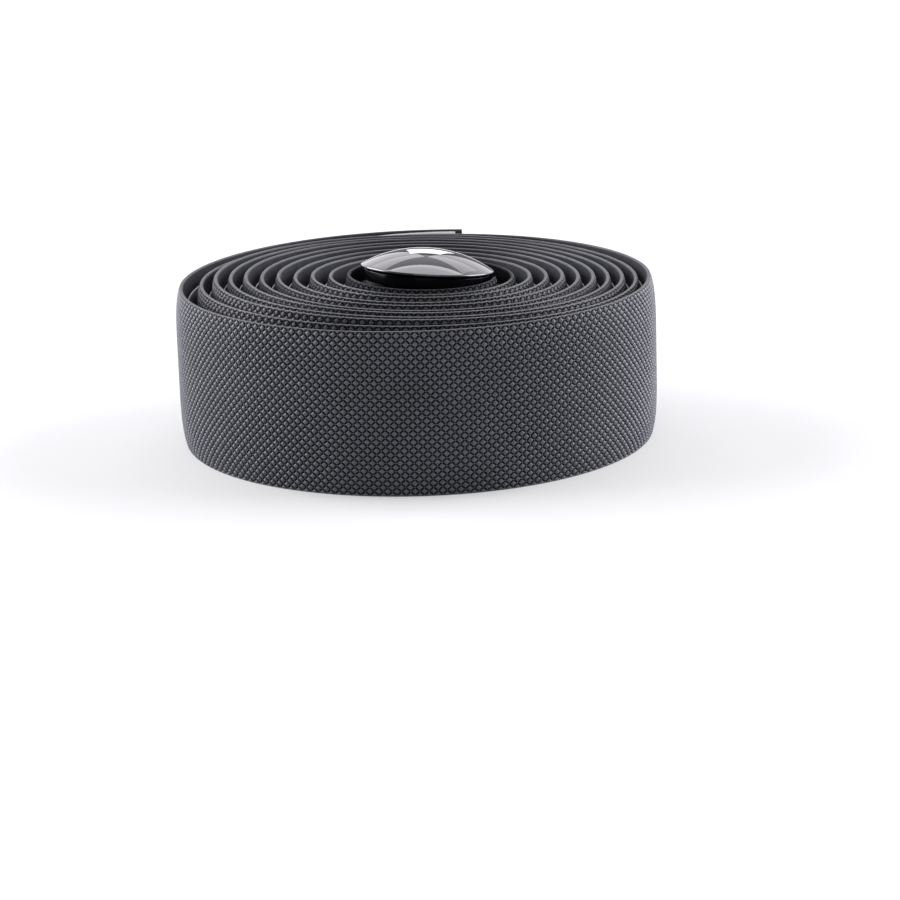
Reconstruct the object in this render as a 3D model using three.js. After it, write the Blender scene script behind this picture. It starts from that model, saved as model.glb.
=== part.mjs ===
// A roll of handlebar tape, standing on its edge, with a bar-end plug resting in its core.
// Units are millimetres, +Z is up, and the origin is under the middle of the roll.

import * as THREE from 'three'

// Tape: one long strip, thick in the middle and thin along both edges
const TAPE_WIDTH = 30
const TAPE_THICKNESS = 2
const EDGE_THICKNESS = 0.6
const FACE_BOW = 0.88          // the outer face swells this far past its edges
const BEVEL_WIDTH = 2.6        // width of the slope along each edge of the inner face
const BEVEL_DROP = 0.3         // the foot of that slope stands this far inside the middle

// Backing film on the tape's inner face
const FILM_THICKNESS = 0.1
const FILM_MARGIN = 2.6        // from the tape's edge to the film's edge
const FILM_GAP = 0.12          // between the film and the turn that carries it
const FILM_TAIL_LIFT = 2.1     // the film slips up by this much at the outer end
const FILM_TAIL_TURNS = 0.27   // over this part of the first turn
const FILM_END_SETBACK = 1.2   // the film stops short of both ends of the tape
const FILM_REST = 0.38         // between the film, where it has come loose, and the next turn inwards
const FILM_LOOSE_FROM = 0.3    // it is loose from this turn on, and held again in the innermost one
const FILM_LOOSE_TURNS = 0.5

// Bar-end plug: a domed cap on a body with a flange and a ribbed stem
const CAP_RADIUS = 12.6
const DOME_HEIGHT = 3.6
const CAP_RIM = 0.35
const CAP_GAP = 0.3            // between the cap's underside and the flange
const PEG_RADIUS = 3
const PEG_LENGTH = 5
const PEG_CLEARANCE = 0.3
const FLANGE_OVERHANG = 0.75   // the cap stands this far past the flange
const FLANGE_THICKNESS = 2.2
const FLANGE_ROUND = 0.5
const STEM_CLEARANCE = 0.35    // from the leaning stem's ribs to the film on the innermost turn
const RIB_HEIGHT = 0.6
const RIB_COUNT = 4
const RIB_PITCH = 5.2
const RIB_FIRST = 4.5          // from the flange down to the middle of the first rib
const STEM_TAPER = 3           // length of the lead-in at the stem's foot
const STEM_TAPER_DROP = 1.2
const PLUG_PROUD = 1.7         // the cap's rim stands this far above the tape's edge
const PLUG_LEAN_RIGHT = 4.95   // degrees
const PLUG_LEAN_BACK = 5.3     // degrees
const PLUG_OFFSET_X = 1.2      // from the middle of the outer turn to the middle of the cap
const PLUG_OFFSET_Y = 0

// Winding, seen from above: the outer end is at the back, and the radius falls anticlockwise
const TURNS = 10.75
const TAIL_ANGLE = 79.4        // degrees from +X
const WIND_GAP = 0.23          // between the film and the next turn inwards
const CORE_SLACK = 0.095       // each turn inwards is wound this much looser
const CORE_SHIFT = 1           // the core sits this far right of the outer turn's middle
const CORE_CLEARANCE = 0.66    // from the cap's radius to the inner end's top edge
const TAIL_SPRING = 1.9        // the outer end springs out by this much
const SPRING_TURNS = 0.775
const TELESCOPE = 0.63         // the inner turns stand this much higher
const FLAT_TURNS = 1           // the outer turn keeps its edge on the surface
const TELESCOPE_TURNS = 2.2
const INNER_TILT = 0.025       // slope of the inner turns' top edges, down to the right
const TILT_FROM = 0.6          // the slope grows from this turn on
const TILT_TURNS = 1.5

const STEPS_PER_TURN = 32
const ROUND_SEGMENTS = 32
const DOME_POINTS = 6

const INNER_FACE = FACE_BOW - TAPE_THICKNESS
const PITCH = TAPE_THICKNESS + FILM_THICKNESS + FILM_GAP + WIND_GAP
const CORE_RADIUS = CAP_RADIUS + CORE_CLEARANCE

function smoothStep (x) {
  const k = Math.min(Math.max(x, 0), 1)
  return k * k * (3 - 2 * k)
}

// Radius of the tape's outer top edge after a number of turns from its outer end
function windingRadius (turn) {
  const tight = PITCH * (TURNS - turn)
  const slack = CORE_SLACK * (TURNS ** 2 - turn ** 2) / 2
  const spring = TAIL_SPRING * (1 - smoothStep(turn / SPRING_TURNS))
  return CORE_RADIUS + tight + slack + spring
}

function windingHeight (turn) {
  const share = Math.min(Math.max((turn - FLAT_TURNS) / TELESCOPE_TURNS, 0), 1)
  return TELESCOPE * Math.sin(share * Math.PI / 2)
}

function windingPoint (turn, out, up) {
  const angle = THREE.MathUtils.degToRad(TAIL_ANGLE) + turn * 2 * Math.PI
  const radius = windingRadius(turn) + out
  const x = CORE_SHIFT * turn / TURNS + radius * Math.cos(angle)
  const tilt = INNER_TILT * smoothStep((turn - TILT_FROM) / TILT_TURNS) * up / TAPE_WIDTH
  return [x, radius * Math.sin(angle), windingHeight(turn) + up - tilt * x]
}

// How far the outer face stands past the tape's edge, at a share of the width
function bow (share) {
  return FACE_BOW * (1 - Math.abs(2 * share - 1) ** 5)
}

// Sections are closed loops of [outwards, up], anticlockwise
function tapeSection () {
  const outer = [0, 0.07, 0.26, 0.5, 0.74, 0.93, 1].map((share) => [bow(share), share * TAPE_WIDTH])
  const inner = [
    [-EDGE_THICKNESS, TAPE_WIDTH],
    [INNER_FACE - BEVEL_DROP, TAPE_WIDTH - BEVEL_WIDTH],
    [INNER_FACE, TAPE_WIDTH / 2],
    [INNER_FACE - BEVEL_DROP, BEVEL_WIDTH],
    [-EDGE_THICKNESS, 0]
  ]
  return [...outer, ...inner]
}

function filmSection () {
  const middle = INNER_FACE - FILM_GAP
  const edge = middle - BEVEL_DROP
  return [
    [edge, FILM_MARGIN],
    [middle, TAPE_WIDTH / 2],
    [edge, TAPE_WIDTH - FILM_MARGIN],
    [edge - FILM_THICKNESS, TAPE_WIDTH - FILM_MARGIN],
    [middle - FILM_THICKNESS, TAPE_WIDTH / 2],
    [edge - FILM_THICKNESS, FILM_MARGIN]
  ]
}

// Near the outer end the film has slipped up towards the tape's top edge
function filmLift (turn) {
  return FILM_TAIL_LIFT * (1 - smoothStep(turn / FILM_TAIL_TURNS))
}

// Between the turns the film has come loose and rests against the next turn inwards
function filmSag (turn) {
  const room = windingRadius(turn) - windingRadius(turn + 1) - (PITCH - WIND_GAP)
  const loose = smoothStep((turn - FILM_LOOSE_FROM) / FILM_LOOSE_TURNS)
  const held = smoothStep((turn - (TURNS - 1)) / FILM_LOOSE_TURNS)
  return Math.max(room - FILM_REST, 0) * loose * (1 - held)
}

// The film stops short of the tape at both ends
const SETBACK = FILM_END_SETBACK / (2 * Math.PI)
const FILM_FROM = SETBACK / windingRadius(0)
const FILM_TO = TURNS - SETBACK / windingRadius(TURNS)

// Turns at which a strip has a section: its two ends and every whole step between
function stepTurns (from, to) {
  const turns = [from]
  const nearest = 0.2 / STEPS_PER_TURN
  for (let step = 0; step <= TURNS * STEPS_PER_TURN; step++) {
    const turn = step / STEPS_PER_TURN
    if (turn > from + nearest && turn < to - nearest) turns.push(turn)
  }
  turns.push(to)
  return turns
}

function windStrip (section, turns, lift, sag) {
  const points = []
  const faces = []
  const count = section.length
  for (const turn of turns) {
    for (const [out, up] of section) {
      points.push(...windingPoint(turn, out - sag(turn), up + lift(turn)))
    }
  }
  for (let i = 0; i < turns.length - 1; i++) {
    for (let j = 0; j < count; j++) {
      const k = (j + 1) % count
      const a = i * count + j
      const b = i * count + k
      faces.push(a, a + count, b, b, a + count, b + count)
    }
  }
  const outline = section.map(([out, up]) => new THREE.Vector2(out, up))
  const last = (turns.length - 1) * count
  for (const [a, b, c] of THREE.ShapeUtils.triangulateShape(outline, [])) {
    faces.push(a, b, c, last + a, last + c, last + b)
  }
  const geometry = new THREE.BufferGeometry()
  geometry.setAttribute('position', new THREE.Float32BufferAttribute(points, 3))
  geometry.setIndex(faces)
  geometry.computeVertexNormals()
  return geometry
}

function makeTape () {
  const turns = [0, ...stepTurns(FILM_FROM, FILM_TO), TURNS]
  return new THREE.Mesh(
    windStrip(tapeSection(), turns, () => 0, () => 0),
    new THREE.MeshStandardMaterial({ color: 0x3b3b40, roughness: 0.62, metalness: 0 })
  )
}

function makeFilm () {
  return new THREE.Mesh(
    windStrip(filmSection(), stepTurns(FILM_FROM, FILM_TO), filmLift, filmSag),
    new THREE.MeshStandardMaterial({ color: 0xb9b9bc, roughness: 0.45, metalness: 0 })
  )
}

// The plug's own origin is the middle of the cap's underside
function makeCap () {
  const sphere = (CAP_RADIUS ** 2 + DOME_HEIGHT ** 2) / (2 * DOME_HEIGHT)
  const halfAngle = Math.asin(CAP_RADIUS / sphere)
  const profile = [
    new THREE.Vector2(0, -PEG_LENGTH),
    new THREE.Vector2(PEG_RADIUS, -PEG_LENGTH),
    new THREE.Vector2(PEG_RADIUS, 0),
    new THREE.Vector2(CAP_RADIUS, 0),
    new THREE.Vector2(CAP_RADIUS, CAP_RIM)
  ]
  for (let i = 1; i <= DOME_POINTS; i++) {
    const angle = halfAngle * (1 - i / DOME_POINTS)
    const x = i === DOME_POINTS ? 0 : sphere * Math.sin(angle)
    profile.push(new THREE.Vector2(x, CAP_RIM + DOME_HEIGHT - sphere * (1 - Math.cos(angle))))
  }
  return new THREE.Mesh(
    new THREE.LatheGeometry(profile, ROUND_SEGMENTS).rotateX(Math.PI / 2),
    new THREE.MeshStandardMaterial({ color: 0x0b0b0d, roughness: 0.06, metalness: 0 })
  )
}

const PLUG_LEAN = new THREE.Euler(
  -THREE.MathUtils.degToRad(PLUG_LEAN_BACK), THREE.MathUtils.degToRad(PLUG_LEAN_RIGHT), 0
)

const PLUG_AXIS = new THREE.Vector3(0, 0, 1).applyEuler(PLUG_LEAN)
const RIM_HEIGHT = TAPE_WIDTH + PLUG_PROUD

// The leaning stem fills the core up to the film, on the side that its foot leans to
function stemRadius () {
  const x = PLUG_OFFSET_X - CORE_SHIFT - RIM_HEIGHT * PLUG_AXIS.x / PLUG_AXIS.z
  const y = PLUG_OFFSET_Y - RIM_HEIGHT * PLUG_AXIS.y / PLUG_AXIS.z
  const side = THREE.MathUtils.radToDeg(Math.atan2(y, x)) - TAIL_ANGLE
  const turn = Math.floor(TURNS) + THREE.MathUtils.euclideanModulo(side / 360, 1)
  const face = windingRadius(Math.min(turn, TURNS)) + INNER_FACE - BEVEL_DROP
  const film = face - FILM_GAP - FILM_THICKNESS
  return film - Math.hypot(x, y) - STEM_CLEARANCE - RIB_HEIGHT
}

// The stem is as long as it takes for its foot to stand on the surface
function stemFoot (footRadius) {
  const tipDrop = footRadius * Math.sqrt(1 - PLUG_AXIS.z ** 2)
  return -(RIM_HEIGHT - tipDrop) / PLUG_AXIS.z
}

function makeBody () {
  const top = -CAP_GAP
  const flange = CAP_RADIUS - FLANGE_OVERHANG
  const under = top - FLANGE_THICKNESS
  const stem = stemRadius()
  const foot = stemFoot(stem - STEM_TAPER_DROP)
  const socket = PEG_RADIUS + PEG_CLEARANCE
  const profile = [
    new THREE.Vector2(0, foot),
    new THREE.Vector2(stem - STEM_TAPER_DROP, foot),
    new THREE.Vector2(stem, foot + STEM_TAPER)
  ]
  for (let i = RIB_COUNT - 1; i >= 0; i--) {
    const middle = under - RIB_FIRST - i * RIB_PITCH
    profile.push(new THREE.Vector2(stem, middle - RIB_HEIGHT * 2))
    profile.push(new THREE.Vector2(stem + RIB_HEIGHT, middle))
    profile.push(new THREE.Vector2(stem, middle + RIB_HEIGHT / 2))
  }
  profile.push(
    new THREE.Vector2(stem, under),
    new THREE.Vector2(flange - FLANGE_ROUND, under),
    new THREE.Vector2(flange, under + FLANGE_ROUND),
    new THREE.Vector2(flange, top),
    new THREE.Vector2(socket, top),
    new THREE.Vector2(socket, -PEG_LENGTH - PEG_CLEARANCE),
    new THREE.Vector2(0, -PEG_LENGTH - PEG_CLEARANCE)
  )
  return new THREE.Mesh(
    new THREE.LatheGeometry(profile, ROUND_SEGMENTS).rotateX(Math.PI / 2),
    new THREE.MeshStandardMaterial({ color: 0x08080a, roughness: 0.18, metalness: 0 })
  )
}

function name (mesh, text) {
  mesh.name = text
  return mesh
}

const plug = new THREE.Group()
plug.add(name(makeBody(), 'plug_body'), name(makeCap(), 'plug_cap'))
plug.rotation.copy(PLUG_LEAN)
plug.position.set(PLUG_OFFSET_X, PLUG_OFFSET_Y, RIM_HEIGHT)

const roll = new THREE.Group()
const tape = name(makeTape(), 'tape')
roll.add(tape, name(makeFilm(), 'backing_film'), plug)

// The middle of the roll's box goes over the origin
const box = new THREE.Box3().setFromObject(roll, true)
const middle = box.getCenter(new THREE.Vector3())
roll.position.set(-middle.x, -middle.y, 0)
const group = new THREE.Group()
group.add(roll)

export default group
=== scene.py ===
# A roll of embossed handlebar tape with a bar-end plug in its core, dressed for its photograph.
# Blender works in metres. Sizes of the tape and the plug are written in millimetres.

import math

import bpy
import numpy as np
from mathutils import Matrix, Vector


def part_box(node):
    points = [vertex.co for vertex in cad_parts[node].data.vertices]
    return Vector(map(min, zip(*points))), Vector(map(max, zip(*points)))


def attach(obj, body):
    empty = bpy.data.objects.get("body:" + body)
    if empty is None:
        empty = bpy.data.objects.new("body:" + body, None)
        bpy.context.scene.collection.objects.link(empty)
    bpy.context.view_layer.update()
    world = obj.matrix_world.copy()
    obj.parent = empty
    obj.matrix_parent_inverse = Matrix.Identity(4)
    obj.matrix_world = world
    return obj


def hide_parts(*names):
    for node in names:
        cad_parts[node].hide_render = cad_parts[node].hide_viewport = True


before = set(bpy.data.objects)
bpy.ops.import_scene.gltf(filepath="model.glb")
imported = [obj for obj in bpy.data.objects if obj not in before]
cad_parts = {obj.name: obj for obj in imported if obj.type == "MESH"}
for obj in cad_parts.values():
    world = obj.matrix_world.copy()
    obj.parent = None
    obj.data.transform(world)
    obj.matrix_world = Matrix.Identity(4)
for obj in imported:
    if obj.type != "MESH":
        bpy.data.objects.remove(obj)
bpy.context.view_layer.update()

MM = 0.001

# Tape section, as in the part's source
TAPE_WIDTH = 30.0
TAPE_THICKNESS = 2.0
EDGE_THICKNESS = 0.6
FACE_BOW = 0.88                 # the outer face stands this far out between its edges
BOW_POWER = 5                   # a high one keeps most of the face flat
BEVEL_WIDTH = 2.6               # the foam thins toward both edges
BEVEL_DROP = 0.3
BEVEL_POINTS = (0.12, 0.35, 0.65, 0.9)                  # shares of the bevel's width
INNER_FACE = FACE_BOW - TAPE_THICKNESS

# Points of the small rounds at an edge's two corners, each in from the corner and down from the edge
OUTER_ROUND = ((0.02, 0.05), (0.12, 0.0))
INNER_ROUND = ((0.14, 0.0), (0.03, 0.07))

# Rows of the tape's mesh, up its outer face
LOWEST_ROW = 0.12
EVEN_ROWS_FROM = 0.2            # from the lower edge
EVEN_ROWS_TO = 0.15             # below the upper edge
PLAIN_STEP = 6.0                # between the bands of fine rows
OUTER_FINE = 6                  # points for each stud, on the outer turn
INNER_FINE = 4
WIDE_BAND = 5.4                 # of fine rows along both edges of an inner turn
NARROW_BAND = 4.0

# Backing film
FILM_THICKNESS = 0.1
FILM_MARGIN = 2.6               # bare tape beside the film
FILM_GAP = 0.12
FILM_TAIL_LIFT = 2.4            # at the free end, where it stands up a little more than on the solid
FILM_TAIL_TURNS = 0.27
FILM_END_SETBACK = 1.2
FILM_REST = 0.38                # stays between the film and the next turn
FILM_LOOSE_FROM = 0.3
FILM_LOOSE_TURNS = 0.5
FILM_BEND_POWER = 1.5           # of its bend over the tape's inner face
FILM_STEP = 0.8                 # of the mesh, along the film
FILM_ROWS = 9

# Plug
CAP_RADIUS = 12.6
DOME_HEIGHT = 3.6
CAP_RIM = 0.35
CAP_RIM_ROUND = 0.12
CAP_GAP = 0.3
PEG_RADIUS = 3.0
PEG_LENGTH = 5.0
PEG_CLEARANCE = 0.3
FLANGE_OVERHANG = 0.75          # of the cap, over the flange
FLANGE_THICKNESS = 2.2
FLANGE_LOW_ROUND = 0.5
FLANGE_TOP_ROUND = 0.25
STEM_CLEARANCE = 0.35
STEM_ROUND = 0.4
STEM_TAPER = 3.0
STEM_TAPER_DROP = 1.2
FOOT_CHAMFER = 0.4
RIB_HEIGHT = 0.6
RIB_COUNT = 4
RIB_PITCH = 5.2
RIB_FIRST = 4.5
RIB_ROUND = 0.15
PLUG_PROUD = 1.7                # the cap's rim stands above the outer turn's edge
PLUG_LEAN_RIGHT = math.radians(4.95)
PLUG_LEAN_BACK = math.radians(5.3)
PLUG_OFFSET_X = 1.2
RIM_HEIGHT = TAPE_WIDTH + PLUG_PROUD
PLUG_SEGMENTS = 128
DOME_STEPS = 32
SHARP_ANGLE = math.radians(35)

# Winding
TURNS = 10.75
TAIL_ANGLE = math.radians(79.4)
WIND_GAP = 0.23
CORE_SLACK = 0.095              # each turn has this much more room than the one outside it
CORE_SHIFT = 1.0                # of the core, to the right of the outer turn's middle
CORE_CLEARANCE = 0.66
TAIL_SPRING = 1.9               # the outer end springs out
SPRING_TURNS = 0.775
TELESCOPE = 0.63                # the inner turns stand higher
FLAT_TURNS = 1.0
TELESCOPE_TURNS = 2.2
INNER_TILT = 0.025              # and their upper edges slope down to the right
TILT_FROM = 0.6
TILT_TURNS = 1.5
WANDER_TURNS = 0.8
EDGE_WAVES = ((0.11, 3.1, 0.4), (0.07, 7.3, 2.0))      # height, radians a turn, start
STEPS_PER_TURN = 32             # facets of the solid's winding
LENGTH_SAMPLES = 20001          # to measure along the tape
PITCH = TAPE_THICKNESS + FILM_THICKNESS + FILM_GAP + WIND_GAP
CORE_RADIUS = CAP_RADIUS + CORE_CLEARANCE

# Embossing: rows of small diamonds, every second row set off by half a diamond
STUD_LENGTH = 1.62              # along the tape, from stud to stud
STUD_WIDTH = 1.53               # across the tape, over two rows
STUD_SHIFT = 0.22               # of the rows, so that a row of grooves runs along the top edge
GROOVE_DEPTH = 0.3
GROOVE_START = 0.68             # of a wave of height 1, where the groove's wall begins
STUD_CROWN = 0.2
STUD_SINK = 0.05                # the crowns start below the solid's face, to end near it
PLAIN_EDGE = 0.05               # unembossed border along the tape's edges
EMBOSS_FADE = 0.18

# Camera: where it stands in the part's frame, in metres, and how it is turned
CAMERA_PLACE = (0.00124, -0.53581, 0.1448)
CAMERA_PITCH = math.radians(15.553)
CAMERA_TURN = math.radians(0.4747)
CAMERA_ROLL = math.radians(-1.768)
CAMERA_LENS = 115.42
SENSOR_WIDTH = 36.0

# Studio
FLOOR_REACH = 6.0               # metres from the roll to the floor's sides
FLOOR_GLOW = 0.36               # lifts the floor to white for the camera and in reflections
WORLD_LIGHT = 0.2
SOFTBOX_COLOUR = (0.96, 0.95, 1.0)
SIDE_COLOUR = (0.96, 0.92, 1.0)


def smooth_step(x):
    k = np.clip(x, 0.0, 1.0)
    return k * k * (3 - 2 * k)


# Winding

def winding_radius(turn):
    tight = PITCH * (TURNS - turn)
    slack = CORE_SLACK * (TURNS ** 2 - turn ** 2) / 2
    spring = TAIL_SPRING * (1 - smooth_step(turn / SPRING_TURNS))
    return CORE_RADIUS + tight + slack + spring


def winding_height(turn):
    share = np.clip((turn - FLAT_TURNS) / TELESCOPE_TURNS, 0.0, 1.0)
    return TELESCOPE * np.sin(share * math.pi / 2)


def edge_wander(turn):
    """The inner turns' edges stand a little high or low, as wound by hand."""
    settled = smooth_step((turn - FLAT_TURNS) / WANDER_TURNS)
    return settled * sum(height * np.sin(turn * rate + start) for height, rate, start in EDGE_WAVES)


def winding_points(turn, out, up):
    """Points in millimetres, from the middle of the outer turn."""
    angle = TAIL_ANGLE + turn * 2 * math.pi
    radius = winding_radius(turn) + out
    x = CORE_SHIFT * turn / TURNS + radius * np.cos(angle)
    y = radius * np.sin(angle)
    tilt = INNER_TILT * smooth_step((turn - TILT_FROM) / TILT_TURNS) * up / TAPE_WIDTH
    z = winding_height(turn) + edge_wander(turn) + up - tilt * x
    return np.stack([x, y, z], axis=-1)


def roll_place():
    """Where the middle of the outer turn lies in the part's frame, in millimetres."""
    steps = np.arange(0, TURNS * STEPS_PER_TURN + 1) / STEPS_PER_TURN
    points = winding_points(steps, FACE_BOW, 0.0)
    low, high = points.min(axis=0), points.max(axis=0)
    box_low, box_high = (np.array(corner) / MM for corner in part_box("tape"))
    place = (box_low + box_high) / 2 - (low + high) / 2
    return np.array([place[0], place[1], 0.0])


ROLL_PLACE = roll_place()


def tape_length(turns):
    """Length along the tape from its outer end, at each turn."""
    fine = np.linspace(0, TURNS, LENGTH_SAMPLES)
    radius = winding_radius(fine)
    steps = (radius[1:] + radius[:-1]) / 2 * np.diff(fine) * 2 * math.pi
    return np.interp(turns, fine, np.concatenate([[0.0], np.cumsum(steps)]))


def turns_every(start, end, spacing):
    """Turns from start to end with even spacing along the tape."""
    fine = np.linspace(start, end, LENGTH_SAMPLES)
    length = tape_length(fine)
    count = max(2, int(round((length[-1] - length[0]) / spacing)) + 1)
    return np.interp(np.linspace(length[0], length[-1], count), length, fine)


# Meshes

def place_piece(mesh, material, replaced):
    piece = bpy.data.objects.new(mesh.name, mesh)
    bpy.context.scene.collection.objects.link(piece)
    mesh.materials.append(material)
    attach(piece, "root")
    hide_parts(replaced)
    return piece


def mark_sharp(mesh, caps):
    """Keep the edges around the flat ends sharp."""
    on_cap = np.zeros(len(mesh.vertices), dtype=bool)
    for cap in caps:
        on_cap[list(cap)] = True
    ends = np.zeros(len(mesh.edges) * 2, dtype=np.int32)
    mesh.edges.foreach_get("vertices", ends)
    sharp = on_cap[ends].reshape(-1, 2).all(axis=1)
    mesh.attributes.new("sharp_edge", "BOOLEAN", "EDGE").data.foreach_set("value", sharp)


def add_mesh(name, points, quads, caps, material, replaced):
    """Make a closed, smooth piece of points in millimetres from the roll's middle."""
    mesh = bpy.data.meshes.new(name)
    places = (points + ROLL_PLACE) * MM
    loops = np.concatenate([quads.reshape(-1)] + [np.array(cap) for cap in caps]).astype(np.int32)
    sizes = np.concatenate([np.full(len(quads), 4), [len(cap) for cap in caps]]).astype(np.int32)
    starts = np.concatenate([[0], np.cumsum(sizes)[:-1]]).astype(np.int32)
    mesh.vertices.add(len(places))
    mesh.vertices.foreach_set("co", places.astype(np.float32).reshape(-1))
    mesh.loops.add(len(loops))
    mesh.loops.foreach_set("vertex_index", loops)
    mesh.polygons.add(len(sizes))
    mesh.polygons.foreach_set("loop_start", starts)
    mesh.polygons.foreach_set("use_smooth", np.arange(len(sizes)) < len(quads))
    mesh.update(calc_edges=True)
    mesh.validate()
    mark_sharp(mesh, caps)
    return place_piece(mesh, material, replaced)


def add_values(piece, name, values):
    """Give each point of a piece a value that its material reads."""
    attribute = piece.data.attributes.new(name, "FLOAT", "POINT")
    attribute.data.foreach_set("value", values.astype(np.float32).reshape(-1))


def add_strip(name, turns, out, up, material, replaced):
    """A closed strip along the winding. out and up have a row for each turn or one for all."""
    count = up.shape[-1]
    columns = len(turns)
    points = winding_points(turns[:, None], out, np.broadcast_to(up, (columns, count)))
    column_starts = np.arange(columns - 1)[:, None] * count
    here = column_starts + np.arange(count)[None, :]
    beside = column_starts + (np.arange(count) + 1)[None, :] % count
    quads = np.stack([here, here + count, beside + count, beside], axis=-1).reshape(-1, 4)
    first = list(range(count))
    last = [(columns - 1) * count + i for i in reversed(range(count))]
    return add_mesh(name, points.reshape(-1, 3), quads, [first, last], material, replaced)


# Tape

def bow(up):
    return FACE_BOW * (1 - np.abs(2 * up / TAPE_WIDTH - 1) ** BOW_POWER)


def groove(x):
    """1 along the grooves between the studs, 0 on the studs."""
    wave = 0.5 - 0.5 * np.cos(2 * math.pi * x)
    return smooth_step((wave - GROOVE_START) / (1 - GROOVE_START))


def emboss(length, up):
    """Height of the embossing in millimetres at a length along the tape."""
    row = (up - STUD_SHIFT) / STUD_WIDTH
    a = length / STUD_LENGTH + row
    b = length / STUD_LENGTH - row
    middle_a = 0.5 + 0.5 * np.cos(2 * math.pi * a)
    middle_b = 0.5 + 0.5 * np.cos(2 * math.pi * b)
    depth_a = groove(a) * (0.5 + 0.5 * middle_b)
    depth_b = groove(b) * (0.5 + 0.5 * middle_a)
    crown = STUD_CROWN * middle_a * middle_b - STUD_SINK
    height = crown - GROOVE_DEPTH * np.maximum(depth_a, depth_b)
    border = np.minimum(up, TAPE_WIDTH - up)
    return height * smooth_step((border - PLAIN_EDGE) / EMBOSS_FADE)


def inner_rows():
    """The top edge and the inner face, going down, and the bottom edge."""
    upper = [(-away, TAPE_WIDTH - down) for away, down in OUTER_ROUND]
    upper += [(away - EDGE_THICKNESS, TAPE_WIDTH - down) for away, down in INNER_ROUND]
    for share in BEVEL_POINTS:
        drop = (INNER_FACE - BEVEL_DROP + EDGE_THICKNESS) * share
        upper.append((-EDGE_THICKNESS + drop, TAPE_WIDTH - BEVEL_WIDTH * share))
    upper.append((INNER_FACE - BEVEL_DROP, TAPE_WIDTH - BEVEL_WIDTH * 1.25))
    upper.append((INNER_FACE - BEVEL_DROP * 0.55, TAPE_WIDTH * 0.75))
    middle = (INNER_FACE, TAPE_WIDTH / 2)               # of the inner face
    lower = [(out, TAPE_WIDTH - up) for out, up in reversed(upper)]
    return upper + [middle] + lower


def tape_rows(fine, band):
    """Section of the tape: outer face going up, then the rest. Only the bands are fine."""
    ups = [LOWEST_ROW]
    step = STUD_WIDTH / fine
    up = math.ceil(EVEN_ROWS_FROM / step) * step
    while up < TAPE_WIDTH - EVEN_ROWS_TO:
        ups.append(up)
        following = up + step
        if band <= up <= TAPE_WIDTH - band:
            far = min(up + PLAIN_STEP, TAPE_WIDTH - band + step)
            following = max(following, math.floor(far / step) * step)
        up = following
    outer = [(float(bow(np.array(up))), up) for up in ups]
    return np.array(outer + inner_rows()), len(outer)


def make_tape_piece(name, start, end, fine, band, material):
    """One stretch of the tape, from turn to turn, with fine points for each stud."""
    rows, outer_count = tape_rows(fine, band)
    turns = turns_every(start, end, STUD_LENGTH / fine)
    shape = (len(turns), len(rows))
    length = np.broadcast_to(tape_length(turns)[:, None], shape)
    across = np.broadcast_to(rows[:, 1][None, :], shape)
    depth = np.broadcast_to(-rows[:, 0][None, :], shape)
    face = np.broadcast_to((np.arange(len(rows)) < outer_count)[None, :], shape)
    out = rows[:, 0][None, :] + np.where(face, emboss(length, across), 0.0)
    piece = add_strip(name, turns, out, rows[:, 1], material, "tape")
    add_values(piece, "tape_along", length)
    add_values(piece, "tape_across", across)
    add_values(piece, "tape_face", face)
    add_values(piece, "tape_depth", depth)


def make_tape(material):
    """The outer turn has fine rows over its whole width, the others along their edges, which show."""
    make_tape_piece("tape_turn_1_back_left", 0.0, 0.28, OUTER_FINE, TAPE_WIDTH, material)
    make_tape_piece("tape_turn_1_front", 0.28, 0.72, OUTER_FINE, TAPE_WIDTH, material)
    make_tape_piece("tape_turn_1_back_right", 0.72, 1.0, OUTER_FINE, TAPE_WIDTH, material)
    make_tape_piece("tape_turns_2_3", 1.0, 2.8, INNER_FINE, WIDE_BAND, material)
    make_tape_piece("tape_turns_3_5", 2.8, 4.6, INNER_FINE, WIDE_BAND, material)
    make_tape_piece("tape_turns_5_7", 4.6, 7.4, INNER_FINE, NARROW_BAND, material)
    make_tape_piece("tape_turns_8_11", 7.4, TURNS, INNER_FINE, NARROW_BAND, material)


# Film

def film_lift(turn):
    return FILM_TAIL_LIFT * (1 - smooth_step(turn / FILM_TAIL_TURNS))


def film_sag(turn):
    """How far the film hangs off its tape toward the next turn."""
    room = winding_radius(turn) - winding_radius(turn + 1) - (PITCH - WIND_GAP)
    loose = smooth_step((turn - FILM_LOOSE_FROM) / FILM_LOOSE_TURNS)
    held = smooth_step((turn - (TURNS - 1)) / FILM_LOOSE_TURNS)
    return np.maximum(room - FILM_REST, 0) * loose * (1 - held)


def make_film(material):
    setback = FILM_END_SETBACK / (2 * math.pi)
    start = setback / winding_radius(0.0)
    end = TURNS - setback / winding_radius(TURNS)
    turns = turns_every(start, end, FILM_STEP)
    across = np.linspace(FILM_MARGIN, TAPE_WIDTH - FILM_MARGIN, FILM_ROWS)
    share = np.abs(2 * across / TAPE_WIDTH - 1) / (1 - 2 * FILM_MARGIN / TAPE_WIDTH)
    face = INNER_FACE - FILM_GAP - BEVEL_DROP * share ** FILM_BEND_POWER
    out = np.concatenate([face, (face - FILM_THICKNESS)[::-1]])
    up = np.concatenate([across, across[::-1]])
    ups = up[None, :] + film_lift(turns)[:, None]
    outs = out[None, :] - film_sag(turns)[:, None]
    piece = add_strip("backing_film_strip", turns, outs, ups, material, "backing_film")
    add_values(piece, "film_turn", np.broadcast_to(turns[:, None], ups.shape))
    add_values(piece, "film_across", np.broadcast_to(up, ups.shape))


# Plug

def plug_matrix():
    lean = Matrix.Rotation(-PLUG_LEAN_BACK, 3, 'X') @ Matrix.Rotation(PLUG_LEAN_RIGHT, 3, 'Y')
    return np.array(lean)


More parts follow.
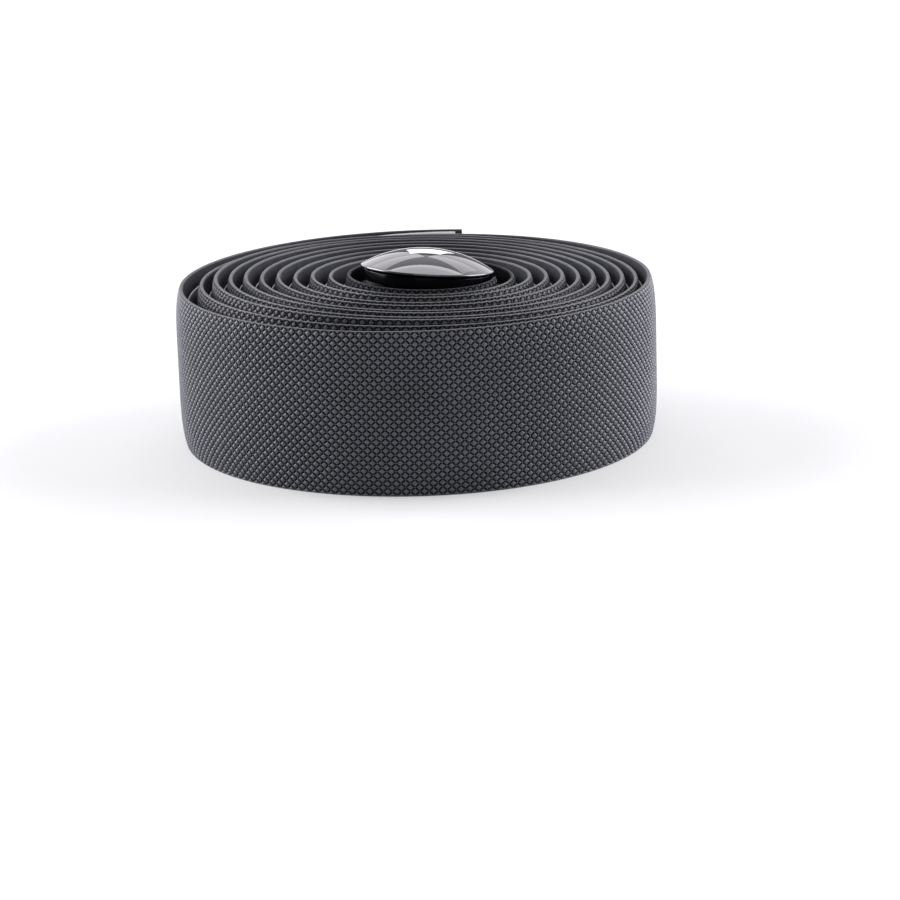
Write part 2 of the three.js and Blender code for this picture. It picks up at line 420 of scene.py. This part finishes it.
def plug_axis():
    return plug_matrix() @ np.array([0.0, 0.0, 1.0])


def stem_radius():
    """The leaning stem fills the core up to the film, on the side that its foot leans to."""
    axis = plug_axis()
    x = PLUG_OFFSET_X - CORE_SHIFT - RIM_HEIGHT * axis[0] / axis[2]
    y = -RIM_HEIGHT * axis[1] / axis[2]
    side = (math.atan2(y, x) - TAIL_ANGLE) / (2 * math.pi)
    turn = math.floor(TURNS) + side % 1.0
    face = winding_radius(min(turn, TURNS)) + INNER_FACE - BEVEL_DROP
    film = face - FILM_GAP - FILM_THICKNESS
    return film - math.hypot(x, y) - STEM_CLEARANCE - RIB_HEIGHT


def stem_foot(foot_radius):
    """Where the stem ends, so that the leaning foot's lowest point lies on the floor."""
    axis = plug_axis()
    tip_drop = foot_radius * math.sqrt(1 - axis[2] ** 2)
    return -(RIM_HEIGHT - tip_drop) / axis[2]


def add_lathe(name, profile, material, replaced):
    """A closed turned piece. The profile runs from the axis, out and back to the axis."""
    profile = np.array(profile)
    ring = profile[1:-1]
    segments = PLUG_SEGMENTS
    angles = np.arange(segments) * 2 * math.pi / segments
    circle = np.stack([np.cos(angles), np.sin(angles)], axis=-1)
    rings = np.concatenate([circle[None] * ring[:, None, :1],
                            np.broadcast_to(ring[:, None, 1:], (len(ring), segments, 1))], axis=-1)
    poles = [[0, 0, profile[0, 1]], [0, 0, profile[-1, 1]]]
    points = np.concatenate([rings.reshape(-1, 3), poles])
    faces = []
    for i in range(len(ring) - 1):
        low, high = i * segments, (i + 1) * segments
        for j in range(segments):
            k = (j + 1) % segments
            faces.append([low + j, low + k, high + k, high + j])
    last_ring = (len(ring) - 1) * segments
    first_pole = len(ring) * segments
    for j in range(segments):
        k = (j + 1) % segments
        faces.append([first_pole, k, j])
        faces.append([first_pole + 1, last_ring + j, last_ring + k])
    points = points @ plug_matrix().T + np.array([PLUG_OFFSET_X, 0.0, RIM_HEIGHT])
    mesh = bpy.data.meshes.new(name)
    mesh.from_pydata(((points + ROLL_PLACE) * MM).tolist(), [], faces)
    mesh.update()
    mesh.shade_smooth()
    mesh.set_sharp_from_angle(angle=SHARP_ANGLE)
    place_piece(mesh, material, replaced)


def rounded(corner_before, corner, corner_after, radius, points=5):
    """Points of a small round at a corner of a profile."""
    before, at, after = (np.array(p, dtype=float) for p in (corner_before, corner, corner_after))
    one = (before - at) / np.linalg.norm(before - at)
    two = (after - at) / np.linalg.norm(after - at)
    start, end = at + one * radius, at + two * radius
    shares = np.linspace(0, 1, points)
    return [tuple((1 - s) ** 2 * start + 2 * s * (1 - s) * at + s ** 2 * end) for s in shares]


def make_cap(material):
    sphere = (CAP_RADIUS ** 2 + DOME_HEIGHT ** 2) / (2 * DOME_HEIGHT)
    half_angle = math.asin(CAP_RADIUS / sphere)
    rim_low, rim_high = (CAP_RADIUS, 0.0), (CAP_RADIUS, CAP_RIM)
    # A point in from the rim along the dome's slope there
    dome_slope = (CAP_RADIUS - 1.0, CAP_RIM + math.tan(half_angle))
    profile = [(0, -PEG_LENGTH), (PEG_RADIUS, -PEG_LENGTH), (PEG_RADIUS, 0)]
    profile += rounded((PEG_RADIUS, 0), rim_low, rim_high, CAP_RIM_ROUND)
    profile += rounded(rim_low, rim_high, dome_slope, CAP_RIM_ROUND)
    for i in range(1, DOME_STEPS):
        angle = half_angle * (1 - i / DOME_STEPS)
        profile.append((sphere * math.sin(angle), CAP_RIM + DOME_HEIGHT - sphere * (1 - math.cos(angle))))
    profile.append((0, CAP_RIM + DOME_HEIGHT))
    add_lathe("plug_dome", profile, material, "plug_cap")


def make_body(material):
    top = -CAP_GAP
    flange = CAP_RADIUS - FLANGE_OVERHANG
    under = top - FLANGE_THICKNESS
    stem = stem_radius()
    foot_radius = stem - STEM_TAPER_DROP
    foot = stem_foot(foot_radius)
    socket = PEG_RADIUS + PEG_CLEARANCE
    socket_floor = -PEG_LENGTH - PEG_CLEARANCE
    profile = [(0, foot), (foot_radius - FOOT_CHAMFER, foot), (foot_radius, foot + FOOT_CHAMFER),
               (stem, foot + STEM_TAPER)]
    for i in reversed(range(RIB_COUNT)):
        crest = under - RIB_FIRST - i * RIB_PITCH
        rib_low, rib_high = (stem, crest - RIB_HEIGHT * 2), (stem, crest + RIB_HEIGHT / 2)
        profile.append(rib_low)
        profile += rounded(rib_low, (stem + RIB_HEIGHT, crest), rib_high, RIB_ROUND, 3)
        profile.append(rib_high)
    profile += rounded((stem, under - 1), (stem, under), (flange, under), STEM_ROUND, 4)
    profile += rounded((stem, under), (flange, under), (flange, top), FLANGE_LOW_ROUND, 6)
    profile += rounded((flange, under), (flange, top), (socket, top), FLANGE_TOP_ROUND, 5)
    profile += [(socket, top), (socket, socket_floor), (0, socket_floor)]
    add_lathe("plug_moulding", profile, material, "plug_body")


# Materials

class Nodes:
    """Short calls for building a material's nodes."""

    def __init__(self, name):
        self.material = bpy.data.materials.new(name)
        self.material.use_nodes = True
        self.tree = self.material.node_tree
        self.tree.nodes.clear()
        self.output = self.tree.nodes.new("ShaderNodeOutputMaterial")

    def new(self, kind, **settings):
        node = self.tree.nodes.new(kind)
        for key, value in settings.items():
            setattr(node, key, value)
        return node

    def put(self, value, socket):
        if isinstance(value, bpy.types.NodeSocket):
            self.tree.links.new(value, socket)
        else:
            socket.default_value = value

    def math(self, operation, a, b=0.0, c=0.0):
        node = self.new("ShaderNodeMath", operation=operation)
        for socket, item in zip(node.inputs, (a, b, c)):
            self.put(item, socket)
        return node.outputs[0]

    def value(self, name):
        return self.new("ShaderNodeAttribute", attribute_name=name).outputs["Fac"]

    def noise(self, scale, detail=4.0, roughness=0.55, stretch=(1, 1, 1)):
        where = self.new("ShaderNodeTexCoord").outputs["Object"]
        mapping = self.new("ShaderNodeMapping")
        mapping.inputs["Scale"].default_value = stretch
        self.put(where, mapping.inputs["Vector"])
        node = self.new("ShaderNodeTexNoise")
        self.put(mapping.outputs[0], node.inputs["Vector"])
        node.inputs["Scale"].default_value = scale
        node.inputs["Detail"].default_value = detail
        node.inputs["Roughness"].default_value = roughness
        return node.outputs["Fac"]

    def band(self, value, low, high, to_low=0.0, to_high=1.0):
        """Rise smoothly from to_low at low to to_high at high."""
        node = self.new("ShaderNodeMapRange", interpolation_type="SMOOTHSTEP")
        for socket, item in zip(node.inputs, (value, low, high, to_low, to_high)):
            self.put(item, socket)
        return node.outputs[0]

    def mix(self, share, a, b):
        """Mix two colours. Sockets 6, 7 and output 2 are the node's colour ones."""
        node = self.new("ShaderNodeMix", data_type="RGBA")
        self.put(share, node.inputs["Factor"])
        self.put(a, node.inputs[6])
        self.put(b, node.inputs[7])
        return node.outputs[2]

    def bump(self, height, strength, distance):
        node = self.new("ShaderNodeBump")
        node.inputs["Strength"].default_value = strength
        node.inputs["Distance"].default_value = distance
        self.put(height, node.inputs["Height"])
        return node.outputs[0]

    def shader(self, **inputs):
        node = self.new("ShaderNodeBsdfPrincipled")
        for key, value in inputs.items():
            self.put(value, node.inputs[key.replace("_", " ")])
        self.tree.links.new(node.outputs[0], self.output.inputs["Surface"])
        return self.material


def grey(level, blue=1.0):
    return (level, level * (1 + (blue - 1) * 0.25), level * blue, 1.0)


BLUE = 1.2                      # the tape is a touch blue

# Colours. A pair is a surface's darker and paler patches.
STUD = grey(0.08, BLUE), grey(0.096, BLUE)
STUD_GRAIN = grey(0.15, BLUE)
# painted shade in the small dimple at each stud's middle
STUD_DIMPLE_SHADE = grey(0.05, BLUE)
# painted shade: the grooves beside the studs are coloured near black
GROOVE_SHADE = grey(0.003, 1.4)
FOAM = grey(0.018, BLUE), grey(0.027, BLUE)
# painted shade: the foam of the core turn is coloured near black
CORE_SHADE = grey(0.003, BLUE)
CUT_EDGE = grey(0.031, 1.1), grey(0.048, 1.1)
# painted shade: the film is coloured dark where it lies between the turns, a little less where it hangs
# loose, and near black in the core
FILM_SHADED_ON_TAPE = grey(0.022, 1.1), grey(0.035, 1.1)
FILM_LOOSE_SHADED = grey(0.045, 1.02)
FILM_CORE_SHADE = grey(0.003, 1.1)
FILM_RIM = grey(0.72, 1.02)
FILM_FREE = grey(0.64, 0.96), grey(0.72, 0.95)
PLUG = grey(0.0015, 1.5), grey(0.003, 1.4)
CAP = grey(0.005, 1.3), grey(0.008, 1.25)
FLOOR = grey(0.37), grey(0.38)

# Where painted shade darkens the tape's inner turns and its core turn, in millimetres from its outer end
INNER_TURNS_SHADE_START = float(tape_length(1.0))
INNER_TURNS_SHADE_FADE = 8.0
CORE_SHADE_START = float(tape_length(TURNS - 1.1))
CORE_SHADE_FADE = 12.0

# Where the paler line of a cut edge starts and where it is full, in millimetres
EDGE_LINE = 0.30, 0.06          # from the edge
EDGE_LINE_BACK = 0.38, 0.16     # behind the outer face
EDGE_LINE_FRONT = 0.14, 0.04    # from the edge, on the outer face

# Where the film changes, in turns from its outer end
FILM_FREE_TURNS = 0.22, 0.08
FILM_LOOSE_LOOK = 0.5, 0.34
FILM_CORE_SHADE_TURNS = TURNS - 1.2, TURNS - 0.9


def stud_waves(n, along, across):
    """Two waves across each other. Both are 1 in the middle of a stud."""
    u = n.math("MULTIPLY", along, 1 / STUD_LENGTH)
    v = n.math("MULTIPLY", n.math("SUBTRACT", across, STUD_SHIFT), 1 / STUD_WIDTH)
    waves = []
    for a in (n.math("ADD", u, v), n.math("SUBTRACT", u, v)):
        turn = n.math("COSINE", n.math("MULTIPLY", a, 2 * math.pi))
        waves.append(n.math("MULTIPLY_ADD", turn, 0.5, 0.5))
    return waves


def groove_dashes(n, waves):
    """1 in the grooves beside the studs, 0 on the studs and where two grooves cross."""
    dashes = []
    for one, other in (waves, reversed(waves)):
        line = n.band(one, 0.27, 0.09)
        length = n.band(other, 0.02, 0.26)
        dashes.append(n.math("MULTIPLY", line, length))
    return n.math("MAXIMUM", *dashes)


def skin_colour(n, along, grain, dash, dimple):
    """Of the embossed face, with painted shade on the turns inside the outer one, in the grooves and in
    the dimples.
    """
    stud = n.mix(n.band(n.noise(70.0, 3.0), 0.35, 0.68), *STUD)
    stud = n.mix(n.math("MULTIPLY", n.band(grain, 0.52, 0.78), 0.5), stud, STUD_GRAIN)
    # painted shade darkens the dimples
    stud = n.mix(n.math("MULTIPLY", dimple, 0.35), stud, STUD_DIMPLE_SHADE)
    # painted shade: the studs of the turns inside the outer one darken toward black
    inside = n.band(along, INNER_TURNS_SHADE_START, INNER_TURNS_SHADE_START + INNER_TURNS_SHADE_FADE)
    stud = n.mix(n.math("MULTIPLY", inside, 0.56), stud, grey(0.0))
    # painted shade: near-black colour in the grooves
    return n.mix(n.math("MULTIPLY", dash, 0.97), stud, GROOVE_SHADE)


def tape_material():
    """Embossed charcoal skin with painted shade in its grooves and on its inner turns, dark foam behind
    it that painted shade turns near black in the core, and paler cut edges.
    """
    n = Nodes("tape_skin")
    along = n.value("tape_along")
    across = n.value("tape_across")
    face = n.value("tape_face")
    depth = n.value("tape_depth")
    border = n.math("MINIMUM", across, n.math("SUBTRACT", TAPE_WIDTH, across))
    near_edge = n.band(border, *EDGE_LINE)
    core = n.band(along, CORE_SHADE_START, CORE_SHADE_START + CORE_SHADE_FADE)
    embossed = n.math("MULTIPLY", face, n.band(border, PLAIN_EDGE, PLAIN_EDGE + EMBOSS_FADE))
    waves = stud_waves(n, along, across)
    dash = n.math("MULTIPLY", groove_dashes(n, waves), embossed)
    dimple = n.math("MULTIPLY", n.band(n.math("MULTIPLY", *waves), 0.86, 0.97), embossed)
    grain = n.noise(2600.0, 5.0, 0.6)
    wear = n.noise(420.0, 4.0)

    edge = n.mix(n.band(wear, 0.35, 0.7), *CUT_EDGE)
    # painted shade: the foam darkens toward near black on the core turn
    foam = n.mix(core, n.mix(n.band(wear, 0.4, 0.65), *FOAM), CORE_SHADE)
    back = n.mix(n.math("MULTIPLY", near_edge, n.band(depth, *EDGE_LINE_BACK)), foam, edge)
    front = skin_colour(n, along, grain, dash, dimple)
    front = n.mix(n.band(border, *EDGE_LINE_FRONT), front, edge)
    colour = n.mix(face, back, front)

    skin = n.math("MAXIMUM", face, near_edge)
    rough = n.math("ADD", n.band(wear, 0.3, 0.7, 0.4, 0.5), n.math("MULTIPLY", dash, 0.2))
    rough = n.math("ADD", rough, n.math("MULTIPLY", n.math("SUBTRACT", 1.0, skin), 0.3))
    shine = n.math("SUBTRACT", 0.5, n.math("MULTIPLY", dash, 0.35))
    shine = n.math("MULTIPLY", shine, n.math("MULTIPLY_ADD", skin, 0.85, 0.15))
    shine = n.math("MULTIPLY", shine, n.math("SUBTRACT", 1.0, n.math("MULTIPLY", core, 0.9)))
    height = n.math("SUBTRACT", n.math("MULTIPLY", grain, 0.18), dash)
    height = n.math("SUBTRACT", height, n.math("MULTIPLY", dimple, 0.16))
    return n.shader(Base_Color=colour, Roughness=rough, IOR=1.45, Specular_IOR_Level=shine,
                    Normal=n.bump(height, 0.9, 0.00014))


def film_material():
    """Thin film: pale where it stands free at the outer end and along its upper rim, darker with painted
    shade where it lies between the turns, and near black with painted shade in the core.
    """
    n = Nodes("backing_film")
    cloud = n.noise(90.0, 3.0)
    crease = n.noise(300.0, 2.0, 0.5, (1, 1, 0.12))
    turn = n.value("film_turn")
    across = n.value("film_across")
    free = n.band(turn, *FILM_FREE_TURNS)
    loose = n.band(turn, *FILM_LOOSE_LOOK)
    inner = n.band(turn, *FILM_CORE_SHADE_TURNS)
    upper_edge = TAPE_WIDTH - FILM_MARGIN
    rim = n.band(across, upper_edge - 0.35, upper_edge - 0.05)
    rim = n.math("MULTIPLY", rim, n.math("SUBTRACT", 1.0, inner))
    # painted shade: darker film where it lies between the turns and hangs loose
    held = n.mix(n.band(cloud, 0.35, 0.7), *FILM_SHADED_ON_TAPE)
    held = n.mix(loose, held, FILM_LOOSE_SHADED)
    # painted shade: the film goes near black in the core
    held = n.mix(inner, held, FILM_CORE_SHADE)
    held = n.mix(rim, held, FILM_RIM)
    colour = n.mix(free, held, n.mix(n.band(cloud, 0.35, 0.7), *FILM_FREE))
    shine = n.math("MULTIPLY_ADD", n.math("MAXIMUM", free, rim), 0.35, 0.15)
    return n.shader(Base_Color=colour, Roughness=n.band(cloud, 0.3, 0.7, 0.34, 0.46), IOR=1.48,
                    Specular_IOR_Level=shine, Normal=n.bump(crease, 0.35, 0.0002))


def plug_material():
    """Black moulding with fine grain and faint scuffs."""
    n = Nodes("plug_black")
    grain = n.noise(900.0, 4.0)
    scuff = n.noise(160.0, 5.0, 0.7)
    colour = n.mix(n.band(scuff, 0.45, 0.75), *PLUG)
    rough = n.band(scuff, 0.4, 0.75, 0.12, 0.24)
    return n.shader(Base_Color=colour, Roughness=rough, IOR=1.38, Specular_IOR_Level=0.06,
                    Normal=n.bump(grain, 0.12, 0.00005))


def cap_material():
    """Glossy black with a clear coat and a few specks of dust."""
    n = Nodes("cap_gloss")
    swirl = n.noise(45.0, 3.0)
    dust = n.noise(3500.0, 2.0, 0.5)
    colour = n.mix(n.band(swirl, 0.3, 0.7), *CAP)
    rough = n.band(dust, 0.6, 0.8, 0.03, 0.08)
    return n.shader(Base_Color=colour, Roughness=rough, IOR=1.5, Coat_Weight=1.0,
                    Coat_Roughness=0.02, Normal=n.bump(swirl, 0.04, 0.0003))


# Stage

def floor_material():
    """Pale floor that keeps the shadow and shows white to the camera."""
    n = Nodes("studio_floor")
    base = n.mix(n.noise(60.0, 2.0), *FLOOR)
    floor = n.new("ShaderNodeBsdfPrincipled")
    n.put(base, floor.inputs["Base Color"])
    floor.inputs["Roughness"].default_value = 0.6
    floor.inputs["Specular IOR Level"].default_value = 0.0
    glow = n.new("ShaderNodeEmission")
    glow.inputs["Color"].default_value = (1, 1, 1, 1)
    path = n.new("ShaderNodeLightPath")
    seen = n.math("MAXIMUM", path.outputs["Is Camera Ray"], path.outputs["Is Glossy Ray"])
    seen = n.math("MAXIMUM", seen, path.outputs["Is Transmission Ray"])
    n.put(n.math("MULTIPLY", seen, FLOOR_GLOW), glow.inputs["Strength"])
    both = n.new("ShaderNodeAddShader")
    n.put(floor.outputs[0], both.inputs[0])
    n.put(glow.outputs[0], both.inputs[1])
    n.tree.links.new(both.outputs[0], n.output.inputs["Surface"])
    return n.material


def make_floor():
    reach = FLOOR_REACH
    mesh = bpy.data.meshes.new("studio_floor")
    corners = [(-reach, -reach, 0), (reach, -reach, 0), (reach, reach, 0), (-reach, reach, 0)]
    mesh.from_pydata(corners, [], [(0, 1, 2, 3)])
    floor = bpy.data.objects.new("studio_floor", mesh)
    bpy.context.scene.collection.objects.link(floor)
    mesh.materials.append(floor_material())


def make_world():
    """White for the camera, a dim even light for everything else."""
    world = bpy.data.worlds.new("studio")
    bpy.context.scene.world = world
    world.use_nodes = True
    tree = world.node_tree
    tree.nodes.clear()
    output = tree.nodes.new("ShaderNodeOutputWorld")
    background = tree.nodes.new("ShaderNodeBackground")
    path = tree.nodes.new("ShaderNodeLightPath")
    mix = tree.nodes.new("ShaderNodeMix")
    mix.data_type = "FLOAT"
    background.inputs["Color"].default_value = (1, 1, 1, 1)
    mix.inputs[2].default_value = WORLD_LIGHT
    mix.inputs[3].default_value = 1.0
    tree.links.new(path.outputs["Is Camera Ray"], mix.inputs[0])
    tree.links.new(mix.outputs[0], background.inputs["Strength"])
    tree.links.new(background.outputs[0], output.inputs["Surface"])


def add_light(name, turn, rise, far, width, height, glow, colour=SOFTBOX_COLOUR):
    """A softbox facing the roll. turn is in degrees right of straight behind it, rise above the floor."""
    turn, rise = math.radians(turn), math.radians(rise)
    place = Vector((math.sin(turn) * math.cos(rise), math.cos(turn) * math.cos(rise),
                    math.sin(rise))) * far
    data = bpy.data.lights.new(name, "AREA")
    data.shape = "RECTANGLE"
    data.size = width
    data.size_y = height
    data.energy = glow * math.pi * width * height
    data.color = colour
    light = bpy.data.objects.new(name, data)
    light.location = place
    light.rotation_euler = (-place).to_track_quat('-Z', 'Y').to_euler()
    bpy.context.scene.collection.objects.link(light)


def make_lights():
    # Name, turn and rise in degrees, distance, width and height in metres, glow
    add_light("softbox_left", -50, 24, 1.5, 2.9, 1.35, 1.1, SIDE_COLOUR)
    add_light("softbox_right", 57, 24, 1.5, 2.9, 1.35, 1.1, SIDE_COLOUR)
    add_light("softbox_far_left", -74, 24, 1.3, 1.15, 1.0, 9.3)
    add_light("softbox_far_right", 79, 24, 1.3, 1.15, 1.0, 8.5)
    add_light("softbox_back", 2.5, 17.5, 1.3, 0.21, 0.36, 2.6)
    add_light("softbox_back_high", 3.5, 42, 1.8, 1.3, 0.8, 0.6)
    add_light("softbox_top", 0, 66, 1.3, 1.2, 0.7, 2.7)
    add_light("softbox_front", 180, 22, 1.6, 1.3, 0.9, 1.5)


def make_camera():
    data = bpy.data.cameras.new("camera")
    data.lens = CAMERA_LENS
    data.sensor_width = SENSOR_WIDTH
    data.sensor_fit = "HORIZONTAL"
    data.clip_start = 0.05
    camera = bpy.data.objects.new("camera", data)
    turn = (Matrix.Rotation(-CAMERA_TURN, 4, 'Z')
            @ Matrix.Rotation(math.radians(90) - CAMERA_PITCH, 4, 'X')
            @ Matrix.Rotation(CAMERA_ROLL, 4, 'Z'))
    camera.matrix_world = Matrix.Translation(CAMERA_PLACE) @ turn
    bpy.context.scene.collection.objects.link(camera)
    bpy.context.scene.camera = camera


def main():
    bpy.context.scene.view_settings.view_transform = "Standard"
    make_tape(tape_material())
    make_film(film_material())
    make_body(plug_material())
    make_cap(cap_material())
    make_floor()
    make_world()
    make_lights()
    make_camera()


main()
